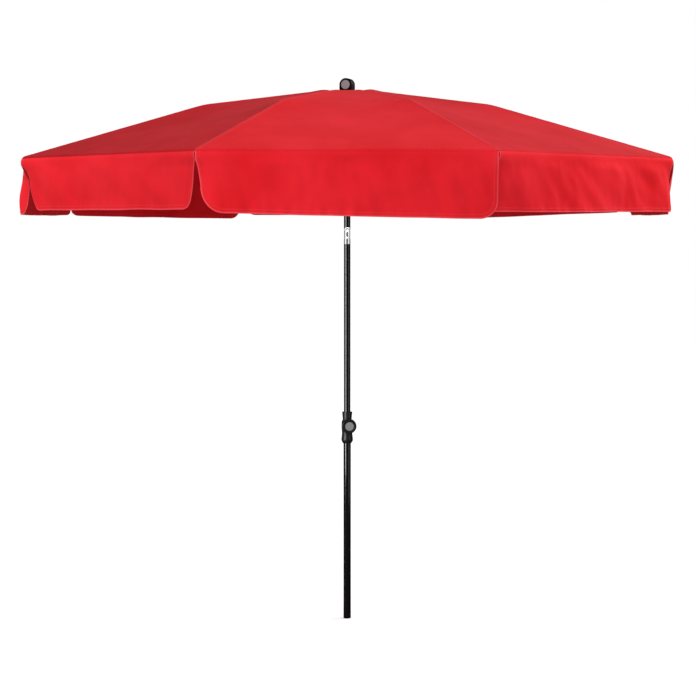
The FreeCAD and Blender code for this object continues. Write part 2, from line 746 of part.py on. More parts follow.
def make_rib(number, angle):
    """A steel channel, open below, with a flat eye at the crown and a rivet for its strut."""
    name = "rib_%d" % number
    half, wall = "Layout.rib_half", "Sizes.rib_wall"
    line = rib_line("Sizes.rib_eye_long", "Sizes.tip_radius")
    channel = plate(name + "_channel", "XZ_Plane", band(line, half, half), "Sizes.rib_wide")
    hollow_line = rib_line("Sizes.rib_eye_long - 1", "Sizes.tip_radius + 1")
    hollow_outline = band(hollow_line, half + " - " + wall, half + " + " + wall)
    hollow = plate(name + "_hollow", "XZ_Plane", hollow_outline, "Layout.rib_inside")
    lap = "(Sizes.rib_eye_long + Sizes.flat_lap)"
    flat = band([rib_line("0", "0")[0], rib_line(lap, "0")[0]], "Layout.eye_rad", "Layout.eye_rad")
    eye_flat = plate(name + "_flat", "XZ_Plane", flat, "Layout.rib_inside")
    crown_pin = ("Sizes.crown_radius", "Sizes.crown_height")
    bend_pin = ("Sizes.bend_radius", "Sizes.bend_height")
    through = "Sizes.rib_wide * 2"
    eye = cross_rod(name + "_eye", "Layout.eye_rad", "Layout.rib_inside", *crown_pin)
    wire_hole = cross_rod(name + "_wire_hole", "Sizes.ring_wire / 2 + Sizes.slide_gap", through, *crown_pin)
    rivet_hole = cross_rod(name + "_rivet_hole", "Sizes.rib_rivet / 2 + Sizes.press_gap", through, *bend_pin)
    shell = cut(name + "_shell", channel, hollow)
    drilled = cut(name + "_drilled", fuse(name + "_blank", shell, eye_flat, eye), wire_hole, rivet_hole)
    rivet_long = "Sizes.rib_wide + 2 * Sizes.rib_head"
    rivet = cross_rod(name + "_rivet", "Sizes.rib_rivet / 2", rivet_long, *bend_pin)
    pair = doc.addObject("Part::Compound", name + "_pair")
    pair.Links = [drilled, rivet]
    keep(turn_to(pair, angle), name)

    cap_start = "Sizes.tip_radius - Sizes.tip_cap_long"
    cap_end = "Sizes.tip_radius + Sizes.tip_cap_end"
    cap_half = half + " + Sizes.tip_cap_wall"
    cap_wide = "Sizes.rib_wide + 2 * Sizes.tip_cap_wall"
    bore_wide = "Sizes.rib_wide + 2 * Sizes.press_gap"
    outer_line = [rib_line("0", cap_start)[2], rib_line("0", cap_end)[2]]
    outer = plate(name + "_cap", "XZ_Plane", band(outer_line, cap_half, cap_half), cap_wide)
    bore_end = "Sizes.tip_radius + Sizes.press_gap"
    inner_line = [rib_line("0", cap_start + " - 1")[2], rib_line("0", bore_end)[2]]
    fit = half + " + Sizes.press_gap"
    inner = plate(name + "_cap_bore", "XZ_Plane", band(inner_line, fit, fit), bore_wide)
    keep(turn_to(cut(name + "_cap_cut", outer, inner), angle), "rib_tip_%d" % number)


def make_strut(number, angle):
    """A steel channel with a flat eye at the rib and a flat end with a cross pin at the runner."""
    name = "strut_%d" % number
    half, wall = "Layout.strut_half", "Sizes.strut_wall"
    flat_end = "Layout.strut_long - Sizes.strut_flat_inner"
    inside = "Layout.strut_inside"
    channel_outline = band(strut_line("Sizes.strut_flat_outer", flat_end), half, half)
    channel = plate(name + "_channel", "XZ_Plane", channel_outline, "Sizes.strut_wide")
    hollow_line = strut_line("Sizes.strut_flat_outer - 1", flat_end + " + 1")
    hollow_outline = band(hollow_line, half + " - " + wall, half + " + 1")
    hollow = plate(name + "_hollow", "XZ_Plane", hollow_outline, inside)
    outer_line = strut_line("0", "Sizes.strut_flat_outer + Sizes.flat_lap")
    outer_flat = plate(name + "_outer_flat", "XZ_Plane", band(outer_line, half, half), inside)
    inner_line = strut_line(flat_end + " - Sizes.flat_lap", "Layout.strut_long")
    inner_flat = plate(name + "_inner_flat", "XZ_Plane", band(inner_line, half, half), inside)
    rib_pin = ("Sizes.bend_radius", "Sizes.bend_height")
    runner_pin = ("Sizes.runner_radius", "Sizes.runner_height")
    outer_eye = cross_rod(name + "_outer_eye", half, inside, *rib_pin)
    inner_eye = cross_rod(name + "_inner_eye", half, inside, *runner_pin)
    pin = cross_rod(name + "_pin", "Sizes.ring_wire / 2", "Sizes.strut_wide - Sizes.free_gap", *runner_pin)
    hole_rad = "Sizes.rib_rivet / 2 + Sizes.slide_gap"
    eye_hole = cross_rod(name + "_hole", hole_rad, "Sizes.strut_wide * 2", *rib_pin)
    shell = cut(name + "_shell", channel, hollow)
    blank = fuse(name + "_blank", shell, outer_flat, inner_flat, outer_eye, inner_eye, pin)
    keep(turn_to(cut(name + "_drilled", blank, eye_hole), angle), name)


def make_gore(number, angle):
    """One flat-sided top panel: level over the crown, bent over the strut pivots, cut along two ribs."""
    name = "gore_%d" % number
    chords = [
        ("Sizes.crown_open * Layout.half_cos", "Layout.crown_cloth"),
        ("Sizes.crown_flat * Layout.half_cos", "Layout.crown_cloth"),
        ("Sizes.bend_radius * Layout.half_cos", "Layout.bend_cloth"),
        ("Layout.edge_chord", "Layout.edge_cloth"),
    ]
    outline = band([(x, z, "1") for x, z in chords], "Sizes.cloth_thick", "0")
    sheet = plate(name + "_sheet", "XZ_Plane", outline, "Sizes.edge_radius")
    near, far = "Sizes.crown_open * Layout.half_cos - 1", "Layout.edge_chord + 1"
    near_half = "((%s) * Layout.half_tan - Sizes.seam_gap / Layout.half_cos)" % near
    far_half = "((%s) * Layout.half_tan - Sizes.seam_gap / Layout.half_cos)" % far
    corners = [(near, "-" + near_half), (far, "-" + far_half), (far, far_half), (near, near_half)]
    wedge = plate(name + "_wedge", "XY_Plane", corners, "Sizes.crown_height * 4")
    keep(turn_to(common(name + "_cut", sheet, wedge), angle), name)


def make_flap(number, angle):
    """One hanging valance flap, with a hem cord at its top and two rounded lower corners."""
    name = "flap_%d" % number
    sheet = plate(name + "_sheet", "YZ_Plane", [
        ("-Layout.flap_half", "Sizes.flap_bottom"),
        ("Layout.flap_half", "Sizes.flap_bottom"),
        ("Layout.flap_half", "Layout.hinge_height"),
        ("-Layout.flap_half", "Layout.hinge_height"),
    ], "Sizes.cloth_thick")
    doc.recompute()
    square = sheet.Tip
    corners = [
        "Edge%d" % (n + 1)
        for n, edge in enumerate(square.Shape.Edges)
        if abs(edge.tangentAt(edge.FirstParameter).x) > 0.5 and edge.CenterOfMass.z < layout.hinge_height - 1
    ]
    rounding = sheet.newObject("PartDesign::Fillet", name + "_rounding")
    rounding.Base = (square, corners)
    rounding.setExpression("Radius", "Sizes.flap_corner")
    sheet.Tip = rounding
    hinge = ("Layout.hinge_chord", "Layout.hinge_height")
    bind(sheet, Placement__Base__x=hinge[0])
    hem = cross_rod(name + "_hem", "Sizes.hem_cord", "2 * Layout.flap_half", *hinge)
    keep(turn_to(fuse(name + "_hemmed", sheet, hem), angle), name)


for number in range(1, RIBS + 1):
    rib_angle = "-90 + Layout.half_step * %d" % (2 * number - 3)
    gore_angle = "-90 + Layout.half_step * %d" % (2 * number - 2)
    make_rib(number, rib_angle)
    make_strut(number, rib_angle)
    make_gore(number, gore_angle)
    make_flap(number, gore_angle)

doc.recompute()

# ---- check every object, then write one file for each sub-part ----

failed = [obj.Name for obj in doc.Objects if {"Invalid", "Error"} & set(obj.State)]
if failed:
    raise RuntimeError("objects that did not build: %s" % failed)
for obj in kept:
    if obj.Shape.isNull() or not obj.Shape.isValid() or not obj.Shape.Solids:
        raise RuntimeError("%s has no valid solid" % obj.Label)

os.makedirs("parts", exist_ok=True)
for obj in kept:
    obj.Shape.exportStep(os.path.join("parts", obj.Label + ".step"))
    print("%-16s solids %d, volume %.1f" % (obj.Label, len(obj.Shape.Solids), obj.Shape.Volume))
print("%d sub-parts" % len(kept))
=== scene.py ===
import json
import math

import bmesh
import bpy
import numpy as np
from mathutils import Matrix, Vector, noise


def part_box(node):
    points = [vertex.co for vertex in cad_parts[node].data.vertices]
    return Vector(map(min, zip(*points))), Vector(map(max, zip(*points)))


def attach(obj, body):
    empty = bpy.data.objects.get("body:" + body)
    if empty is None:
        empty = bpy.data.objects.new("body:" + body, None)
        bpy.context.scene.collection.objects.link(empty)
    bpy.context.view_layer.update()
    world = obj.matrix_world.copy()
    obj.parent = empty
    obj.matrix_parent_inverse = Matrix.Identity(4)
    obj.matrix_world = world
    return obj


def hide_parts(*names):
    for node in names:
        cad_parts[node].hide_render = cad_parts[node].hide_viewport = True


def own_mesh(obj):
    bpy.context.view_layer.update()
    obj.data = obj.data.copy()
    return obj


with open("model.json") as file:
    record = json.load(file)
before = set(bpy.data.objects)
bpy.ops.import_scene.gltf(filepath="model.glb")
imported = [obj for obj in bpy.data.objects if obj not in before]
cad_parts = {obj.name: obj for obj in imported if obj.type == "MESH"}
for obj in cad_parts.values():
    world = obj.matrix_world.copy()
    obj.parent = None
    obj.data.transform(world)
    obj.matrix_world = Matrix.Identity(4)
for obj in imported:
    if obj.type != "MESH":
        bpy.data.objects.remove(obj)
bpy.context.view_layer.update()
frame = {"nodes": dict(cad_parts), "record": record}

nodes = frame["nodes"]
joints = {joint["name"]: joint for joint in frame["record"]["behaviour"]["joints"]}

# ---------------------------------------------------------------- studio ----
# A plain pale studio: a white floor that meets a white surround, a large soft light in front and one high
# on the right that makes that side of the canopy the brighter, and a narrow light for the tubes alone.

scene = bpy.context.scene
scene.view_settings.view_transform = "Standard"

EYE_DISTANCE = 5.67
EYE_HEIGHT = 1.349
EYE_ASIDE = 0.0028
FIELD_SCALE = 1676 / 696
FRAME_CENTRE = 0.912

camera_data = bpy.data.cameras.new("camera")
camera_data.sensor_width = 36.0
camera_data.lens = FIELD_SCALE * camera_data.sensor_width
camera_data.shift_y = (FRAME_CENTRE - EYE_HEIGHT) / EYE_DISTANCE * FIELD_SCALE
camera = bpy.data.objects.new("camera", camera_data)
camera.location = (EYE_ASIDE, -EYE_DISTANCE, EYE_HEIGHT)
camera.rotation_euler = (math.pi / 2, 0, 0)
scene.collection.objects.link(camera)
scene.camera = camera


def add(tree, kind, inputs=(), **settings):
    """Adds a node, sets its settings, and fills its inputs with values or with links from other sockets."""
    node = tree.nodes.new(kind)
    for name, value in settings.items():
        setattr(node, name, value)
    for key, value in dict(inputs).items():
        if isinstance(value, bpy.types.NodeSocket):
            tree.links.new(value, node.inputs[key])
        else:
            node.inputs[key].default_value = value
    return node


SEEN, REFLECTED, AMBIENT = 1.0, 0.07, 0.46   # the surround as seen, in gloss, and as light
world = bpy.data.worlds.new("surround")
scene.world = world
world.use_nodes = True
path = add(world.node_tree, "ShaderNodeLightPath").outputs
gloss = add(world.node_tree, "ShaderNodeMix", {"Factor": path["Is Glossy Ray"], "A": AMBIENT, "B": REFLECTED})
sight = add(world.node_tree, "ShaderNodeMix",
            {"Factor": path["Is Camera Ray"], "A": gloss.outputs["Result"], "B": SEEN})
surround = world.node_tree.nodes["Background"]
surround.inputs["Color"].default_value = (1, 1, 1, 1)
world.node_tree.links.new(sight.outputs["Result"], surround.inputs["Strength"])


def area_light(name, place, aim, size, power, lights_only=None):
    """A rectangular soft light (width, height) at a place, turned to face a point."""
    data = bpy.data.lights.new(name, "AREA")
    data.shape = "RECTANGLE"
    data.size, data.size_y = size
    data.energy = power
    lamp = bpy.data.objects.new(name, data)
    lamp.location = place
    lamp.rotation_euler = (Vector(aim) - Vector(place)).to_track_quat("-Z", "Y").to_euler()
    lamp.visible_camera = False
    scene.collection.objects.link(lamp)
    if lights_only:
        lamp.light_linking.receiver_collection = lights_only


canopy_middle = (0, 0, 1.6)
area_light("front_light", (0.3, -4.6, 2.7), canopy_middle, (4.0, 1.4), 70)
area_light("right_light", (3.6, 1.5, 3.6), canopy_middle, (2.4, 2.4), 125)


def group(name, *members):
    """A collection of the objects that a light is kept to."""
    made = bpy.data.collections.new(name)
    for member in members:
        made.objects.link(member)
    return made


tubes = group("tubes")
area_light("tube_light", (-1.62, -1.51, 1.05), (0, 0, 1.05), (0.6, 1.8), 230, tubes)
area_light("tube_fill", (1.9, -1.2, 0.95), (0, 0, 0.95), (0.5, 1.9), 26, tubes)
joint = group("joint")
area_light("joint_left", (-0.75, -0.50, 1.29), (0, 0, 1.29), (1.2, 1.2), 4.2, joint)
area_light("joint_right", (0.75, -0.50, 1.29), (0, 0, 1.29), (1.2, 1.2), 3.8, joint)


def linear(code):
    """An sRGB hex colour as linear red, green, blue and alpha."""
    channels = [int(code[n:n + 2], 16) / 255 for n in (1, 3, 5)]
    return [c / 12.92 if c <= 0.04045 else ((c + 0.055) / 1.055) ** 2.4 for c in channels] + [1.0]


def finish_named(name, colour, roughness, **sockets):
    """A material with one Principled shader, its constant values on the shader's own sockets."""
    material = bpy.data.materials.new(name)
    material.use_nodes = True
    shader = material.node_tree.nodes["Principled BSDF"]
    shader.inputs["Base Color"].default_value = linear(colour)
    shader.inputs["Roughness"].default_value = roughness
    for socket, value in sockets.items():
        shader.inputs[socket.replace("_", " ")].default_value = value
    return material, material.node_tree, shader


floor_paint, floor_tree, floor_shader = finish_named("white_floor_paint", "#F7F7F7", 0.9)
bpy.ops.mesh.primitive_plane_add(size=60, location=(0, 0, -0.0005))
floor = bpy.context.object
floor.name = "floor"
floor.data.materials.append(floor_paint)
floor.visible_diffuse = False   # the surround lights the canopy from below in its place, and more softly
floor.visible_glossy = False

floor_only = bpy.data.collections.new("floor_only")
floor_only.objects.link(floor)
floor_sun = bpy.data.lights.new("floor_sun", "SUN")
floor_sun.energy = 2.2
floor_sun.angle = math.radians(50)
sun = bpy.data.objects.new("floor_sun", floor_sun)
sun.visible_camera = False
sun.light_linking.receiver_collection = floor_only
sun.light_linking.blocker_collection = tubes
scene.collection.objects.link(sun)

# ------------------------------------------------------------ pole tubes ----
# Seam-welded steel tube in two sizes, one sliding in the other, with a gloss black powder coat. The coat
# is nearly black with a faint orange peel, so it shows one clear bright line down its length.

powder_coat, tree, shader = finish_named("gloss_black_powder_coat", "#050506", 0.2, Specular_IOR_Level=0.14)
spot = add(tree, "ShaderNodeTexCoord").outputs["Object"]
PEEL_MM = 2.5   # the spacing of the orange peel
peel = add(tree, "ShaderNodeTexNoise", {"Vector": spot, "Scale": 1000 / PEEL_MM, "Detail": 1.0})
bump = add(tree, "ShaderNodeBump", {"Height": peel.outputs["Fac"], "Strength": 0.012, "Distance": 0.0003})
tree.links.new(bump.outputs["Normal"], shader.inputs["Normal"])
wear = add(tree, "ShaderNodeTexNoise", {"Vector": spot, "Scale": 14.0, "Detail": 3.0})
rough = add(tree, "ShaderNodeMapRange", {"Value": wear.outputs["Fac"], "To Min": 0.09, "To Max": 0.15})
tree.links.new(rough.outputs["Result"], shader.inputs["Roughness"])


def coat(material, *names):
    """Gives CAD nodes a material in place of their plain one."""
    for name in names:
        mesh = nodes[name].data
        mesh.materials.clear()
        mesh.materials.append(material)


coat(powder_coat, "lower_tube", "upper_tube", "head_tube")
for name in ("lower_tube", "upper_tube", "head_tube"):
    tubes.objects.link(nodes[name])

# ------------------------------------------------------- moulded plastics ----
# The foot plug, clamp, crown hub, runner and rib tips are black polypropylene from a spark-eroded mould:
# a deep black with a fine grain that spreads its highlights. Every moulded edge is slightly rounded.

body_of = {node: body for body, names in frame["record"]["behaviour"]["bodies"].items() for node in names}
GRAIN_MM = 0.8   # spark grain is much finer than this, too fine to show, so it is drawn coarser


def moulded(name, colour, roughness, low, high):
    """Spark-eroded polypropylene: a fine even grain, and flow marks that shift its gloss a little."""
    made, tree, shader = finish_named(name, colour, roughness, Specular_IOR_Level=0.11)
    spot = add(tree, "ShaderNodeTexCoord").outputs["Object"]
    grain = add(tree, "ShaderNodeTexNoise", {"Vector": spot, "Scale": 1000 / GRAIN_MM, "Detail": 2.0})
    bump = add(tree, "ShaderNodeBump", {"Height": grain.outputs["Fac"], "Strength": 0.2, "Distance": 0.0002})
    tree.links.new(bump.outputs["Normal"], shader.inputs["Normal"])
    flow = add(tree, "ShaderNodeTexNoise", {"Vector": spot, "Scale": 60.0, "Detail": 2.0})
    rough = add(tree, "ShaderNodeMapRange", {"Value": flow.outputs["Fac"], "To Min": low, "To Max": high})
    tree.links.new(rough.outputs["Result"], shader.inputs["Roughness"])
    return made


black_plastic = moulded("moulded_black_polypropylene", "#08080A", 0.4, 0.34, 0.46)
grey_plastic = moulded("satin_grey_polypropylene", "#A3A4A6", 0.4, 0.36, 0.46)


def rounded(node, width, material, steps=3):
    """A copy of a CAD node with its sharp edges rounded, which stands for it."""
    mesh = nodes[node].data.copy()
    shape = bmesh.new()
    shape.from_mesh(mesh)
    bmesh.ops.remove_doubles(shape, verts=shape.verts, dist=1e-6)
    bmesh.ops.dissolve_limit(shape, angle_limit=math.radians(0.5), verts=shape.verts, edges=shape.edges)
    shape.to_mesh(mesh)
    shape.free()
    mesh.materials.clear()
    mesh.materials.append(material)
    piece = bpy.data.objects.new(node + "_finished", mesh)
    scene.collection.objects.link(piece)
    edge = piece.modifiers.new("edges", "BEVEL")
    edge.width = width
    edge.segments = steps
    edge.angle_limit = math.radians(35)
    edge.harden_normals = True
    mesh.polygons.foreach_set("use_smooth", [True] * len(mesh.polygons))
    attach(piece, body_of[node])
    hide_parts(node)
    return piece


EDGE_ROUNDS = {"foot_plug": 0.0006, "clamp_body": 0.0008, "runner": 0.0006, "runner_latch": 0.0005}
for node, width in EDGE_ROUNDS.items():
    made = rounded(node, width, black_plastic)
    if node == "clamp_body":
        tubes.objects.link(made)
for number in range(1, 9):
    rounded("rib_tip_%d" % number, 0.0004, black_plastic, steps=2)
coat(black_plastic, "guide_bush", "crown_hub")

# ------------------------------------------------------------ tilt joint ----
# Zinc die castings with bright chrome plate: a fork on the upper tube, a tongue on the head tube, and a
# peened steel rivet between them.

chrome, tree, shader = finish_named("bright_chrome_plate", "#F2F2F3", 0.1, Metallic=1.0)
spot = add(tree, "ShaderNodeTexCoord").outputs["Object"]
haze = add(tree, "ShaderNodeTexNoise", {"Vector": spot, "Scale": 90.0, "Detail": 2.0})
rough = add(tree, "ShaderNodeMapRange", {"Value": haze.outputs["Fac"], "To Min": 0.05, "To Max": 0.12})
tree.links.new(rough.outputs["Result"], shader.inputs["Roughness"])
for node in ("tilt_fork", "tilt_tongue"):
    joint.objects.link(rounded(node, 0.0005, chrome))

zinc, tree, shader = finish_named("zinc_plated_steel", "#9FA3A6", 0.35, Metallic=1.0)
spot = add(tree, "ShaderNodeTexCoord").outputs["Object"]
spangle = add(tree, "ShaderNodeTexVoronoi", {"Vector": spot, "Scale": 250.0})
rough = add(tree, "ShaderNodeMapRange", {"Value": spangle.outputs["Distance"], "To Min": 0.25, "To Max": 0.5})
tree.links.new(rough.outputs["Result"], shader.inputs["Roughness"])
coat(zinc, "clamp_nut", "clamp_screw", "crown_ring", "tilt_rivet")

# ------------------------------------------------------------ clamp knob ----
# A turned black knob with a finely fluted rim for grip, and a satin grey cap pressed in its face.


def lathe(name, outline, turns, start, facing, flutes=0, flute_deep=0.0, fluted=(0, 0)):
    """A closed turned piece: outline is (radius, distance forward) from axis to axis, about a line that faces
    a direction. The radius of the points from fluted[0] to fluted[1] is cut by even flutes."""
    forward = Vector(facing).normalized()
    across = forward.cross(Vector((0, 0, 1))).normalized()
    up = across.cross(forward)
    points, faces = [], []
    for step, (radius, distance) in enumerate(outline):
        for turn in range(turns):
            angle = 2 * math.pi * turn / turns
            cut = fluted[0] <= step <= fluted[1]
            depth = flute_deep * (0.5 - 0.5 * math.cos(flutes * angle)) if cut else 0
            reach = max(radius - depth, 1e-5)
            spot = Vector(start) + forward * distance
            points.append(spot + reach * (math.cos(angle) * across + math.sin(angle) * up))
    for step in range(len(outline) - 1):
        for turn in range(turns):
            a, b = step * turns + turn, step * turns + (turn + 1) % turns
            faces.append((a, b, b + turns, a + turns))
    faces.append(tuple(range(turns))[::-1])
    faces.append(tuple((len(outline) - 1) * turns + turn for turn in range(turns)))
    mesh = bpy.data.meshes.new(name)
    mesh.from_pydata(points, [], faces)
    shape = bmesh.new()
    shape.from_mesh(mesh)
    bmesh.ops.recalc_face_normals(shape, faces=shape.faces)
    shape.to_mesh(mesh)
    shape.free()
    mesh.polygons.foreach_set("use_smooth", [True] * len(mesh.polygons))
    made = bpy.data.objects.new(name, mesh)
    scene.collection.objects.link(made)
    return made


def arc(middle, radius, first, last, steps):
    """Points (radius, distance) round a quarter of an edge, from one angle to another in degrees."""
    angles = np.radians(np.linspace(first, last, steps))
    return [(middle[0] + radius * math.cos(a), middle[1] + radius * math.sin(a)) for a in angles]


def finish_piece(piece, material, node):
    """Gives a made piece its material, and has it stand for a CAD node on that node's body."""
    piece.data.materials.append(material)
    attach(piece, body_of[node])
    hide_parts(node)


turn_axis = joints["clamp_knob_turn"]
facing = Vector(turn_axis["axis"])
knob_low, knob_high = (Vector(corner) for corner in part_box("clamp_knob"))
knob_height = (knob_low.z + knob_high.z) / 2
KNOB = (knob_high.z - knob_low.z) / 2
KNOB_THICK = 0.017
lean = abs(facing.y)
knob_back = (-knob_low.y - KNOB * math.sqrt(1 - lean ** 2)) / lean - KNOB_THICK + 0.0004
centre = (0, 0, knob_height)
back_of_knob = Vector(centre) + facing * knob_back
RIM_ROUND = 0.0035
LEDGE_DEEP, POCKET, POCKET_DEEP = 0.0014, 0.0149, 0.0040   # round the cap, then the cap's own pocket
FLUTES, FLUTE_DEEP = 36, 0.0007
knob_outline = [(0.0, 0.0003), (KNOB - RIM_ROUND, 0.0003)]
knob_outline += arc((KNOB - RIM_ROUND, RIM_ROUND), RIM_ROUND, -90, 0, 7)
knob_outline += arc((KNOB - RIM_ROUND, KNOB_THICK - RIM_ROUND), RIM_ROUND, 0, 90, 7)
knob_outline += [(0.0172, KNOB_THICK), (0.0168, KNOB_THICK - 0.0004), (0.0160, KNOB_THICK - LEDGE_DEEP)]
knob_outline += [(POCKET, KNOB_THICK - LEDGE_DEEP), (POCKET, KNOB_THICK - POCKET_DEEP)]
knob_outline += [(0.0, KNOB_THICK - POCKET_DEEP)]
knob = lathe("clamp_knob_fluted", knob_outline, 216, back_of_knob, facing, FLUTES, FLUTE_DEEP, (5, 12))
finish_piece(knob, black_plastic, "clamp_knob")
tubes.objects.link(knob)


def cap_outline(radius, thick):
    """A thin disc with a rounded rim, a narrow flat land and a shallow dome."""
    land = radius - 0.0020
    dome = [(land * math.cos(a), thick * 0.7 + thick * 0.3 * math.sin(a)) for a in np.linspace(0.0, 1.5, 9)]
    return [(0.0, 0.0), (radius, 0.0)] + arc((radius - 0.0008, thick * 0.7), 0.0008, 0, 90, 5) + dome


CAP_THICK = 0.003
CAP_TURNS = 96
KNOB_CAP, FINIAL_CAP = 0.0144, 0.0154   # radii
cap_seat = back_of_knob + facing * (KNOB_THICK - 0.0015)
cap = lathe("clamp_knob_cap_domed", cap_outline(KNOB_CAP, CAP_THICK), CAP_TURNS, cap_seat, facing)
finish_piece(cap, grey_plastic, "clamp_knob_cap")

# ---------------------------------------------------------------- finial ----
# A moulded black head on the crown, arched over a satin grey cap, which hides the canopy's screw.

rounded("finial", 0.0026, black_plastic, steps=5)
finial_low, finial_high = (Vector(corner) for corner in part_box("finial_cap"))
cap_height = (finial_low.z + finial_high.z) / 2
FINIAL_TURN = math.radians(-20)
FINIAL_CAP_BACK = 0.0160   # from the pole axis to the back of the cap
finial_facing = Vector((math.sin(FINIAL_TURN), -math.cos(FINIAL_TURN), 0))
cap_back = Vector((0, 0, cap_height)) + finial_facing * FINIAL_CAP_BACK
finial_cap = lathe("finial_cap_domed", cap_outline(FINIAL_CAP, CAP_THICK), CAP_TURNS, cap_back, finial_facing)
finish_piece(finial_cap, grey_plastic, "finial_cap")

# -------------------------------------------------------- ribs and struts ----
# Rolled steel channels under the cloth, powder coated like the pole, each strut riveted to its rib.

coat(powder_coat, *["rib_%d" % n for n in range(1, 9)], *["strut_%d" % n for n in range(1, 9)])

# ------------------------------------------------------- canopy: gores ----
# Eight panels of plain-woven dyed polyester, cut as wedges and joined by felled seams along the ribs.
# Stretched on the ribs they are tight and nearly flat, drawn down a little between two ribs, and turn over
# the edge into the hanging flaps in one soft fold.

RIBS = 8
HALF_STEP = math.pi / RIBS
polyester, tree, shader = finish_named(
    "woven_red_polyester", "#DB1E28", 0.85, Sheen_Weight=0.02, Sheen_Roughness=0.4, Specular_IOR_Level=0.06
)
cloth_uv = add(tree, "ShaderNodeUVMap", uv_map="cloth").outputs["UV"]
spot = add(tree, "ShaderNodeTexCoord").outputs["Object"]
THREAD_MM = 1.6   # the real thread is about 0.4 mm, too fine to show, so it is drawn four times as coarse
scaled = add(tree, "ShaderNodeVectorMath", {0: cloth_uv, "Scale": 1000 / THREAD_MM * math.pi},
             operation="SCALE")
split = add(tree, "ShaderNodeSeparateXYZ", {0: scaled.outputs["Vector"]})
warp = add(tree, "ShaderNodeMath", {0: split.outputs["X"]}, operation="SINE")
weft = add(tree, "ShaderNodeMath", {0: split.outputs["Y"]}, operation="SINE")
weave = add(tree, "ShaderNodeMath", {0: warp.outputs[0], 1: weft.outputs[0]}, operation="MULTIPLY")
bump = add(tree, "ShaderNodeBump", {"Height": weave.outputs[0], "Strength": 0.15, "Distance": 0.0002})
tree.links.new(bump.outputs["Normal"], shader.inputs["Normal"])
cloud = add(tree, "ShaderNodeTexNoise", {"Vector": spot, "Scale": 5.0, "Detail": 4.0})
shade = add(tree, "ShaderNodeMapRange", {"Value": cloud.outputs["Fac"], "From Min": 0.3, "From Max": 0.7})
red = add(tree, "ShaderNodeMix",
          {"Factor": shade.outputs["Result"], "A": linear("#D51922"), "B": linear("#E2242F")},
          data_type="RGBA")
# Painted highlight: the cloth turns paler pink along its seams, hems and the patch's edge, where light would
# catch the folded cloth.
painted_edge_highlight = add(tree, "ShaderNodeAttribute", attribute_name="painted_edge_highlight")
edged = add(tree, "ShaderNodeMix",
            {"Factor": painted_edge_highlight.outputs["Fac"], "A": red.outputs["Result"], "B": linear("#F0525C")},
            data_type="RGBA")
tree.links.new(edged.outputs["Result"], shader.inputs["Base Color"])

# The places that the cloth is hung from, in metres: the flap hinge line, the bend in the ribs, the crown.
hinge = Vector(joints["flap_1_hang"]["pos_m"])
EDGE = math.hypot(hinge.x, hinge.y)
EDGE_Z = hinge.z
bend_pin = Vector(joints["strut_1_hinge"]["pos_m"])
BEND = math.hypot(bend_pin.x, bend_pin.y) * math.cos(HALF_STEP)
CLOTH_OVER_PIN = 0.0066
BEND_Z = bend_pin.z + CLOTH_OVER_PIN
CROWN_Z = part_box("gore_1")[1][2] - 0.0002
CROWN_FLAT = 0.100 * math.cos(HALF_STEP)
FOLD = 0.020
FOLD_AT_HINGE = math.radians(53)
MIDDLE = 0.014
CLOTH = 0.0006
DRAW_DOWN = 0.011

fold_centre = (EDGE - FOLD * math.sin(FOLD_AT_HINGE), EDGE_Z - FOLD * math.cos(FOLD_AT_HINGE))
fall = math.atan2(BEND_Z - EDGE_Z, EDGE - BEND)
fold_start = (fold_centre[0] + FOLD * math.sin(fall), fold_centre[1] + FOLD * math.cos(fall))


def directions(number):
    """The outward and sideways directions of a numbered gore; the first faces the front."""
    angle = -math.pi / 2 + 2 * HALF_STEP * (number - 1)
    return np.array([math.cos(angle), math.sin(angle), 0]), np.array([-math.sin(angle), math.cos(angle), 0])


def place(number, reach, side, height):
    """Points on a numbered panel, from how far out, how far sideways and how high they are."""
    outward, sideways = directions(number)
    spots = np.ravel(reach)[:, None] * outward + np.ravel(side)[:, None] * sideways
    spots[:, 2] = np.ravel(height)
    return spots


def soft_least(a, b, soft):
    """The lesser of two heights, with the corner between them rounded."""
    low = np.minimum(a, b)
    return low - soft * np.log(np.exp((low - a) / soft) + np.exp((low - b) / soft))


def cloth_height(out, at_crown, at_bend):
    """The height of the taut cloth at a distance out from the pole, square to the canopy's edge."""
    level = np.full_like(out, CROWN_Z)
    inner = CROWN_Z + (BEND_Z - CROWN_Z) * (out - CROWN_FLAT) / (BEND - CROWN_FLAT)
    outer = BEND_Z + (fold_start[1] - BEND_Z) * (out - BEND) / (fold_start[0] - BEND)
    return soft_least(soft_least(level, inner, at_crown), outer, at_bend)


def ruffle(x, y, scale, seed):
    """Smooth noise from about -1 to 1 over two coordinates, in the shape of the first."""
    flat = zip(np.ravel(x) * scale + seed * 7.31, np.ravel(y) * scale + seed * 3.17)
    return np.array([noise.noise((a, b, seed * 1.73)) for a, b in flat]).reshape(np.shape(x))


